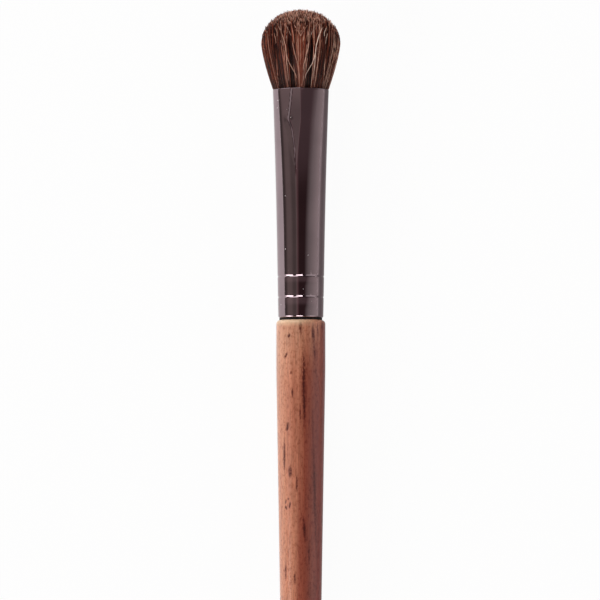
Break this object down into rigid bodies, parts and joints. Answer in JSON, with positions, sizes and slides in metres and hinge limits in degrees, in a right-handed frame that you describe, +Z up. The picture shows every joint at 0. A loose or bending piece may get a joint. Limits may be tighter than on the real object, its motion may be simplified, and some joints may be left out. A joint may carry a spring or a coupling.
{
  "type": "eyeshadow brush",
  "caption": "Small cosmetic brush: a domed tuft of hair in a pressed metal ferrule on a tapered wooden handle, lying on its tail and tuft.",
  "frame": {"origin": "middle of the brush's length on the table top, straight under its axis; the brush lies on its tail and its tuft", "axes": "+Y along the brush from the tail of the handle to the hair tips, +Z up out of the front of the tuft, +X across its wide side"},
  "size_m": [0.012, 0.168, 0.0094],
  "materials": {
    "lacquered_wood": "satin",
    "dark_glue": "matte",
    "anodised_aluminium": "polished",
    "clear_glue": "gloss",
    "cotton_thread": "matte",
    "brown_hair": "satin"
  },
  "bodies": {
    "root": {"handle": "lacquered_wood", "tenon_glue": "dark_glue", "ferrule": "anodised_aluminium", "root_glue": "clear_glue", "tie_thread": "cotton_thread", "hair_tuft": "brown_hair"}
  },
  "joints": []
}
